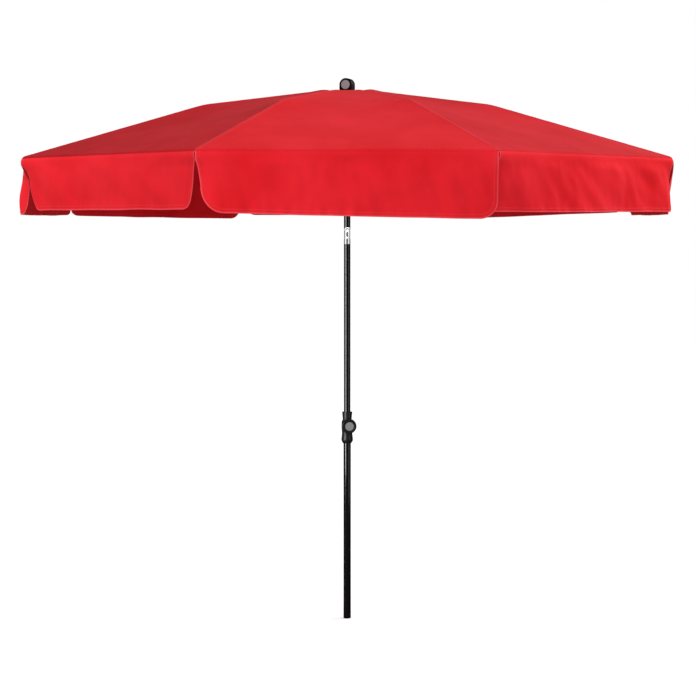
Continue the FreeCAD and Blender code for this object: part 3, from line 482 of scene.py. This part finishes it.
def sheet_mesh(name, points, uv, columns, material, painted_edge_highlight):
    """A quad sheet from rows of points, with a UV map in metres and a painted highlight: a mark that makes
    the cloth paler where light would catch a folded edge.
    """
    rows = len(points) // columns
    first = (np.arange(rows - 1)[:, None] * columns + np.arange(columns - 1)).ravel()
    faces = np.column_stack([first, first + columns, first + columns + 1, first + 1])
    mesh = bpy.data.meshes.new(name)
    mesh.from_pydata(points.tolist(), [], faces.tolist())
    layer = mesh.uv_layers.new(name="cloth")
    corner = np.empty(len(mesh.loops), dtype=int)
    mesh.loops.foreach_get("vertex_index", corner)
    layer.data.foreach_set("uv", np.asarray(uv, float)[corner].ravel())
    mesh.attributes.new("painted_edge_highlight", "FLOAT", "POINT").data.foreach_set("value", np.ravel(painted_edge_highlight).astype(float))
    mesh.polygons.foreach_set("use_smooth", [True] * len(mesh.polygons))
    mesh.materials.append(material)
    made = bpy.data.objects.new(name, mesh)
    scene.collection.objects.link(made)
    solid = made.modifiers.new("cloth", "SOLIDIFY")
    solid.thickness = CLOTH
    solid.offset = -1.0
    made.visible_glossy = False   # keeps the bright metal clear of red glare, as a white tent would
    return made


def hang_on(piece, number, kind):
    """Has a piece of a numbered gore or flap move with it, on a mesh of its own."""
    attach(piece, "%s_%d" % (kind, number))
    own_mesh(piece)


def margin_lines(half, margins, count):
    """Lines across a width of cloth: at the given margins in from both edges, and even between them."""
    margins = margins * min(1.0, 0.5 * half / margins[-1])
    between = np.linspace(-1, 1, count) * (half - margins[-1])
    return np.concatenate([margins[:-1] - half, between, (half - margins[:-1])[::-1]])


SEAM_WIDE, SEAM_HIGH = 0.009, 0.0007
SEAM_LINES = np.array([0, 0.0012, 0.0025, 0.0045, 0.0065, 0.0085, 0.0095, 0.012])
CROWN_LUMPS = {3: 0.0050, 8: 0.0035}   # the ribs over which the cloth is bunched at the crown, and how high


def gore_height(number, out, side, turn):
    """The height of a numbered gore's face at a distance out and sideways."""
    half = out * math.tan(HALF_STEP)
    share = np.clip((out - MIDDLE) / (EDGE - MIDDLE), 0, 1)
    between_ribs = 1 - np.clip(side / half, -1, 1) ** 2
    over_rib = cloth_height(out, 0.0008, 0.0012)
    height = over_rib + (cloth_height(out, 0.0018, 0.0100) - over_rib) * between_ribs
    height -= DRAW_DOWN * between_ribs * np.sin(math.pi * share) ** 2
    height = np.where(turn > fall, fold_centre[1] + FOLD * np.cos(turn), height)
    in_from_seam = half - np.abs(side)
    free = np.clip(in_from_seam / 0.03, 0, 1) * np.clip((EDGE - out) / 0.01, 0, 1)
    lift = 0.0016 * ruffle(side, out, 5.0, number) + 0.0006 * ruffle(side, out, 16.0, number + 20)
    near_edge = np.exp(-((EDGE - out) / 0.11) ** 2)
    lift += 0.0014 * near_edge * ruffle(side * 7, out, 4.0, number + 40)
    tug = np.exp(-in_from_seam / 0.02) * np.clip((EDGE - out) / 0.03, 0, 1)
    lift_at_seam = 0.0005 * tug * ruffle(side * 0.2, out, 60.0, number + 60)
    felled = np.clip((SEAM_WIDE - in_from_seam) / 0.0012, 0, 1) * np.clip((out - 0.05) / 0.02, 0, 1)
    lump = np.where(side < 0, CROWN_LUMPS.get(number, 0), CROWN_LUMPS.get(number % RIBS + 1, 0))
    lump = lump * np.exp(-((out - 0.080) ** 2 + in_from_seam ** 2) / 0.026 ** 2)
    return height + lift * free + lift_at_seam + SEAM_HIGH * felled + lump


GORE_ROWS = 110
out_steps = np.concatenate([np.linspace(MIDDLE, fold_start[0], GORE_ROWS), np.full(7, fold_start[0])])
turn_steps = np.concatenate([np.full(GORE_ROWS, fall), np.linspace(fall, FOLD_AT_HINGE, 8)[1:]])
reach_steps = np.where(turn_steps > fall, fold_centre[0] + FOLD * np.sin(turn_steps), out_steps)
rows = [margin_lines(reach * math.tan(HALF_STEP), SEAM_LINES, 79) for reach in reach_steps]
gore_side = np.array(rows)
gore_out = np.repeat(reach_steps[:, None], gore_side.shape[1], axis=1)
gore_turn = np.repeat(turn_steps[:, None], gore_side.shape[1], axis=1)
edge_run = np.hypot(np.diff(reach_steps, prepend=MIDDLE),
                    np.diff(cloth_height(reach_steps, 0.001, 0.001), prepend=CROWN_Z))
gore_run = np.repeat(np.cumsum(edge_run)[:, None], gore_side.shape[1], axis=1)

gores = []
for number in range(1, RIBS + 1):
    height = gore_height(number, gore_out, gore_side, gore_turn)
    in_from_seam = gore_out * math.tan(HALF_STEP) - np.abs(gore_side)
    # Painted highlight: the cloth is paler right over each seam, and faintly along the felled seam's inner
    # edge, where light would catch the folds.
    painted_edge_highlight = 0.5 * np.exp(-(in_from_seam / 0.0022) ** 2)
    painted_edge_highlight = painted_edge_highlight + 0.14 * np.exp(-((in_from_seam - SEAM_WIDE) / 0.0012) ** 2)
    flat_spots = np.column_stack([gore_side.ravel(), gore_run.ravel()])
    gore = sheet_mesh("gore_cloth_%d" % number, place(number, gore_out, gore_side, height),
                      flat_spots, gore_side.shape[1], polyester, painted_edge_highlight)
    hang_on(gore, number, "gore")
    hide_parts("gore_%d" % number)
    gores.append(gore)

# ------------------------------------------------------- canopy: flaps ----
# A valance flap hangs from each gore's edge: the same cloth, slit at the ribs and round at its corners, its
# free edge turned over twice and sewn down as a hem, which puckers it. Each hangs a little differently.

FLAP_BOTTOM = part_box("flap_1")[0][2]
HALF = EDGE * math.tan(HALF_STEP)
HEM = 0.012
# For each flap, in mm: how far its left edge draws back half way down and at the foot, the same for its
# right edge, the two corners' radii, how far the foot is above the lowest CAD flap at the left, middle and
# right, and how far the flap bellies out, with where across it does, from -1 to 1.
HANG = {
    1: ((13, 15), (1, 3), (70, 50), (4, -7, -15), (5, 0.2)),
    2: ((2, 2), (4, 6), (30, 14), (5, 6, 8), (5, 0.3)),
    3: ((3, 8), (6, 10), (36, 40), (0, -2, 0), (6, 0.0)),
    4: ((6, 10), (8, 14), (45, 45), (10, -2, -15), (8, -0.2)),
    5: ((5, 9), (6, 9), (45, 50), (-2, 2, 0), (7, 0.3)),
    6: ((8, 12), (6, 10), (45, 40), (-13, -9, -2), (6, 0.1)),
    7: ((4, 8), (2, 2), (40, 30), (0, -3, 0), (19, 0.8)),
    8: ((32, 62), (27, 38), (56, 32), (12, 12, 12), (6, 0.1)),
}
# The long soft creases, by flap: where across the flap each leaves the top edge and meets the foot, from -1
# to 1, how steeply the cloth to its left turns back (to its right, if negative), and over what width in m.
CREASES = {
    1: ((-0.75, -0.98, 0.14), (0.35, 0.10, -0.12), (-0.25, -0.42, 0.14)),
    2: ((-1.0, -0.58, 0.36, 0.12), (0.75, 0.95, -0.14), (0.20, -0.05, 0.13)),
    3: ((0.2, 0.5, 0.1),),
    4: ((-0.4, -0.1, 0.12),),
    5: ((0.3, 0.0, 0.10),),
    6: ((0.5, 0.2, -0.10),),
    7: ((0.1, 0.4, 0.12),),
    8: ((-0.55, -0.80, 0.14), (0.45, 0.10, 0.14), (-0.10, -0.35, -0.13)),
}
CREASE_WIDE = 0.055
PLAIN_CURL = (0.010, 0.055)
CURLS = {7: (0.036, 0.11)}   # how far in a right edge curls and over what width, where not as the others do


def flap_foot(number, side):
    """The height of a flap's outline below each point across it, and the height of its straight foot."""
    left, middle, right = (rise / 1000 for rise in HANG[number][3])
    u = side / HALF
    foot = FLAP_BOTTOM + 0.002 + middle + (right - left) / 2 * u + ((left + right) / 2 - middle) * u ** 2
    foot = foot + 0.0012 * ruffle(side, side * 0, 9.0, number + 140)
    radius = np.where(side < 0, HANG[number][2][0], HANG[number][2][1]) / 1000
    into = np.clip(np.abs(side) - (HALF - radius), 0, radius)
    return foot + radius - np.sqrt(np.maximum(radius ** 2 - into ** 2, 0)), foot, radius


def in_from_hem(number, side, height):
    """How far a point on a flap is from its free edge."""
    straight, radius = flap_foot(number, side)[1:]
    right_of, below = np.abs(side) - (HALF - radius), straight + radius - height
    round_part = radius - np.hypot(np.maximum(right_of, 0), np.maximum(below, 0))
    plain = np.minimum(HALF - np.abs(side), height - straight)
    return np.where((right_of > 0) & (below > 0), round_part, plain)


def flap_spots(number, side, height):
    """Points on a numbered flap, from where they are on the flat cloth: how far sideways, and how high."""
    (left_mid, left_low), (right_mid, right_low) = HANG[number][:2]
    belly, belly_at = HANG[number][4]
    lip = fold_centre[1]
    turn = np.arccos(np.clip((height - lip) / FOLD, 0, 1))
    reach = fold_centre[0] + FOLD * np.sin(turn)
    depth = np.clip((EDGE_Z - height) / (EDGE_Z - FLAP_BOTTOM), 0, 1.1)
    u = side / HALF
    mid, low = (np.where(side < 0, a, b) / 1000 for a, b in ((left_mid, right_mid), (left_low, right_low)))
    upper = mid * np.clip((depth - 0.15) / 0.40, 0, 1) ** 0.6
    drawn = np.where(depth < 0.55, upper, mid + (low - mid) * (depth - 0.55) / 0.45)
    across = side - np.sign(side) * drawn * np.abs(u) ** 3
    free = np.clip((EDGE_Z - 0.006 - height) / 0.04, 0, 1)
    free = free * free * (3 - 2 * free)
    to_edge = in_from_hem(number, side, height)
    out_at = np.clip(depth / 0.3, 0, 1) ** 0.7 * (1 - 0.25 * depth)
    swell = belly / 1000 * out_at * np.exp(-((u - belly_at) / 0.6) ** 2)
    curl, curl_wide = (np.where(side > 0, a, b) for a, b in zip(CURLS.get(number, PLAIN_CURL), PLAIN_CURL))
    swell -= curl * np.clip(1 - (HALF - np.abs(side)) / curl_wide, 0, 1) ** 2 * np.clip(depth * 2.5, 0, 1)
    for top, foot, slope, *reaches in CREASES[number]:
        wide = reaches[0] if reaches else CREASE_WIDE
        line = (top + (foot - top) * depth) * HALF
        past = line - side if slope > 0 else side - line
        past = 0.005 * np.logaddexp(0, past / 0.005)
        swell -= abs(slope) * wide * (1 - np.exp(-past / wide)) * np.clip(depth * 1.3, 0, 1)
    lean = side + 0.9 * height
    swell += 0.0130 * ruffle(lean, height * 0.5 - side * 0.3, 7.0, number + 60)
    swell += 0.0050 * ruffle(lean, height * 0.5 - side * 0.5, 17.0, number + 80)
    swell += 0.0012 * ruffle(side + 0.3 * height, height * 0.4, 40.0, number + 90)
    swell += 0.0042 * ruffle(side, height * 0.12, 45.0, number + 100) * np.exp(-(to_edge / 0.026) ** 2)
    near_top = np.exp(-((EDGE_Z - height) / 0.05) ** 2)
    swell += 0.0018 * ruffle(side * 1.5, height * 0.12, 45.0, number + 120) * near_top
    hem = np.clip((HEM - to_edge) / 0.0015, 0, 1)
    return place(number, reach + swell * free + 0.0008 * hem * free, across, height)


HEM_LINES = np.array([0, 0.0012, 0.0025, 0.005, 0.008, 0.0105, 0.0120, 0.0135, 0.016])
FLAP_ROWS = 46
flap_side = margin_lines(HALF - 0.0004, HEM_LINES, 141)
flaps = []
for number in range(1, RIBS + 1):
    outline = flap_foot(number, flap_side)[0]
    columns = []
    for foot in outline:
        long = EDGE_Z - foot
        near_foot = HEM_LINES * min(1.0, 0.5 * long / HEM_LINES[-1])
        above = EDGE_Z - (long - near_foot[-1]) * np.linspace(0, 1, FLAP_ROWS)
        columns.append(np.concatenate([above, foot + near_foot[:-1][::-1]]))
    height = np.array(columns).T
    side = np.repeat(flap_side[None, :], len(height), axis=0)
    to_edge = in_from_hem(number, side, height)
    # Painted highlight: the cloth is paler along the hem's turned edge, and faintly along the line where the
    # hem is sewn down, where light would catch them.
    painted_edge_highlight = 0.85 * np.exp(-((to_edge - 0.0008) / 0.0026) ** 2)
    painted_edge_highlight = painted_edge_highlight + 0.10 * np.exp(-((to_edge - HEM) / 0.0014) ** 2)
    flap = sheet_mesh("flap_cloth_%d" % number, flap_spots(number, side.ravel(), height.ravel()),
                      np.column_stack([side.ravel(), height.ravel()]), len(flap_side), polyester, painted_edge_highlight)
    hang_on(flap, number, "flap")
    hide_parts("flap_%d" % number)
    flaps.append(flap)

# Each side's flaps and the front panel have their own soft light, as reflecting boards would give.
BOARD = (0.8, 0.8)
area_light("left_board", (-3.1, -1.0, 2.7), (-0.8, -0.6, 1.44), BOARD, 48,
           group("left_flaps", flaps[6], flaps[7]))
area_light("right_board", (3.1, -1.0, 2.7), (0.8, -0.6, 1.44), BOARD, 30,
           group("right_flaps", flaps[1], flaps[2]))
area_light("front_board", (0, -2.5, 4.0), (0, -0.5, 1.6), (2.0, 2.0), 22, group("front_gore", gores[0]))
area_light("flap_board", (-2.7, -2.2, 2.3), (0, -1.0, 1.44), BOARD, 46, group("front_flap", flaps[0]))

# --------------------------------------------------- canopy: crown patch ----
# A round patch of the same cloth, its edge turned under, sewn over the middle where the eight points meet.
# The finial is screwed down through it.

patch_low, patch_high = (Vector(corner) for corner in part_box("crown_patch"))
PATCH = (patch_high.x - patch_low.x) / 2
PATCH_HOLE = 0.006
patch_edge = PATCH - np.array([0.006, 0.004, 0.002, 0.0008, 0])
patch_rings = np.concatenate([np.linspace(PATCH_HOLE, PATCH - 0.008, 16), patch_edge])
patch_turns = np.linspace(0, 2 * math.pi, 97)
ring, around = np.meshgrid(patch_rings, patch_turns, indexing="ij")
x, y = ring * np.cos(around), ring * np.sin(around)
wave = 0.0004 * ruffle(x, y, 50.0, 201) * np.clip((ring - 0.02) / 0.02, 0, 1)
turned = np.clip((ring - (PATCH - 0.007)) / 0.001, 0, 1) * 0.0004
droop = -0.0016 * np.clip((ring - (PATCH - 0.002)) / 0.002, 0, 1) ** 2
patch_spots = np.column_stack([x.ravel(), y.ravel(), (patch_high.z - 0.0004 + wave + turned + droop).ravel()])
# Painted highlight: the patch is paler round its turned-under edge, where light would catch the fold.
patch_painted_highlight = 0.6 * np.exp(-((PATCH - ring) / 0.002) ** 2)
patch = sheet_mesh("crown_patch_cloth", patch_spots, np.column_stack([x.ravel(), y.ravel()]),
                   len(patch_turns), polyester, patch_painted_highlight)
shape = bmesh.new()
shape.from_mesh(patch.data)
bmesh.ops.remove_doubles(shape, verts=shape.verts, dist=1e-6)
shape.to_mesh(patch.data)
shape.free()
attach(patch, "head")
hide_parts("crown_patch")

# ------------------------------------------------------ canopy: stitches ----
# Lockstitch in red bonded polyester thread, a shade lighter than the cloth: one row down each side of every
# felled seam, one round every hem, a bar tack at the head of each slit and one row round the patch.

thread, tree, shader = finish_named("red_bonded_thread", "#E8404A", 0.55, Specular_IOR_Level=0.3)
spot = add(tree, "ShaderNodeTexCoord").outputs["Object"]
TWIST_MM = 0.9   # the spacing of the mottle that the twist gives
twist = add(tree, "ShaderNodeTexNoise", {"Vector": spot, "Scale": 1000 / TWIST_MM, "Detail": 1.0})
tone = add(tree, "ShaderNodeMix",
           {"Factor": twist.outputs["Fac"], "A": linear("#DB2F39"), "B": linear("#F0525C")},
           data_type="RGBA")
tree.links.new(tone.outputs["Result"], shader.inputs["Base Color"])

stitching = bpy.data.node_groups.new("row_of_stitches", "GeometryNodeTree")
stitching.interface.new_socket("Line", in_out="INPUT", socket_type="NodeSocketGeometry")
for socket in ("Pitch", "Stitch Length", "Thread Width"):
    stitching.interface.new_socket(socket, in_out="INPUT", socket_type="NodeSocketFloat")
stitching.interface.new_socket("Thread", in_out="INPUT", socket_type="NodeSocketMaterial")
stitching.interface.new_socket("Stitches", in_out="OUTPUT", socket_type="NodeSocketGeometry")
given = stitching.nodes.new("NodeGroupInput")
line = add(stitching, "GeometryNodeMeshToCurve", {"Mesh": given.outputs["Line"]})
points = add(stitching, "GeometryNodeResampleCurve",
             {"Curve": line.outputs["Curve"], "Length": given.outputs["Pitch"]}, mode="LENGTH")
bead = add(stitching, "GeometryNodeMeshUVSphere", {"Segments": 6, "Rings": 4, "Radius": 0.5})
size = add(stitching, "ShaderNodeCombineXYZ", {
    "X": given.outputs["Stitch Length"], "Y": given.outputs["Thread Width"],
    "Z": given.outputs["Thread Width"]})
tangent = add(stitching, "GeometryNodeInputTangent")
aligned = add(stitching, "FunctionNodeAlignRotationToVector",
              {"Vector": tangent.outputs["Tangent"]}, axis="X")
placed = add(stitching, "GeometryNodeInstanceOnPoints", {
    "Points": points.outputs["Curve"], "Instance": bead.outputs["Mesh"],
    "Rotation": aligned.outputs["Rotation"], "Scale": size.outputs["Vector"]})
real = add(stitching, "GeometryNodeRealizeInstances", {"Geometry": placed.outputs["Instances"]})
coloured = add(stitching, "GeometryNodeSetMaterial",
               {"Geometry": real.outputs["Geometry"], "Material": given.outputs["Thread"]})
result = stitching.nodes.new("NodeGroupOutput")
stitching.links.new(coloured.outputs["Geometry"], result.inputs["Stitches"])

STITCH = {"Pitch": 0.0050, "Stitch Length": 0.0040, "Thread Width": 0.0009}


def sew(name, rows):
    """A mesh of stitches along rows of points."""
    points, edges = [], []
    for row in rows:
        edges += [(len(points) + step, len(points) + step + 1) for step in range(len(row) - 1)]
        points += np.asarray(row).tolist()
    mesh = bpy.data.meshes.new(name + "_line")
    mesh.from_pydata(points, edges, [])
    marked = bpy.data.objects.new(name + "_line", mesh)
    scene.collection.objects.link(marked)
    needle = marked.modifiers.new("stitches", "NODES")
    needle.node_group = stitching
    inputs = [item for item in stitching.interface.items_tree if item.in_out == "INPUT"]
    sockets = {item.name: item.identifier for item in inputs}
    for label, value in STITCH.items():
        needle[sockets[label]] = value
    needle[sockets["Thread"]] = thread
    evaluated = marked.evaluated_get(bpy.context.evaluated_depsgraph_get())
    sewn = bpy.data.objects.new(name, bpy.data.meshes.new_from_object(evaluated))
    bpy.data.objects.remove(marked)
    sewn.data.polygons.foreach_set("use_smooth", [True] * len(sewn.data.polygons))
    scene.collection.objects.link(sewn)
    return sewn


def beside(spots, outward, gap):
    """Points moved off the cloth by a gap."""
    return spots + np.asarray(outward) * gap


SEAM_ROW = 0.0052
BELOW_FOLD = 0.022   # where a hem row starts, under the hinge line
OFF_CLOTH, OFF_TACK = 0.0003, 0.0004
for number in range(1, RIBS + 1):
    outward, sideways = directions(number)
    out = np.linspace(0.060, fold_start[0], 260)
    rows = []
    for edge in (-1, 1):
        side = edge * (out * math.tan(HALF_STEP) - SEAM_ROW)
        height = gore_height(number, out, side, np.full_like(out, fall))
        rows.append(beside(place(number, out, side, height), (0, 0, 1), OFF_CLOTH))
    hang_on(sew("gore_stitches_%d" % number, rows), number, "gore")
    rows = []
    left_radius, right_radius = (radius / 1000 for radius in HANG[number][2])
    inset = HEM - 0.002
    foot_ends = [flap_foot(number, np.array([edge * (HALF - 1e-6)]))[1][0] for edge in (-1, 1)]
    left_foot, right_foot = (float(end) for end in foot_ends)
    quarter = np.linspace(0, math.pi / 2, 12)
    down = np.linspace(EDGE_Z - BELOW_FOLD, left_foot + left_radius, 30)
    side = [np.full_like(down, -HALF + inset), -HALF + left_radius - (left_radius - inset) * np.cos(quarter)]
    height = [down, left_foot + left_radius - (left_radius - inset) * np.sin(quarter)]
    run = np.linspace(-HALF + left_radius, HALF - right_radius, 160)
    side.append(run)
    height.append(flap_foot(number, run)[1] + inset)
    side.append(HALF - right_radius + (right_radius - inset) * np.sin(quarter))
    height.append(right_foot + right_radius - (right_radius - inset) * np.cos(quarter))
    up = np.linspace(right_foot + right_radius, EDGE_Z - BELOW_FOLD, 30)
    side.append(np.full_like(up, HALF - inset))
    height.append(up)
    rows.append(beside(flap_spots(number, np.concatenate(side), np.concatenate(height)), outward, OFF_CLOTH))
    for edge in (-1, 1):
        across = np.linspace(HALF - 0.012, HALF - 0.001, 5) * edge
        for high in (0.020, 0.0225):
            tack = flap_spots(number, across, np.full_like(across, EDGE_Z - high))
            rows.append(beside(tack, outward, OFF_TACK))
    hang_on(sew("flap_stitches_%d" % number, rows), number, "flap")

ring_turns = np.linspace(0, 2 * math.pi, 80)
PATCH_ROW = PATCH - 0.0045
patch_row = np.column_stack([PATCH_ROW * np.cos(ring_turns), PATCH_ROW * np.sin(ring_turns),
                             np.full_like(ring_turns, patch_high.z + OFF_CLOTH)])
patch_stitches = sew("crown_patch_stitches", [patch_row])
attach(patch_stitches, "head")
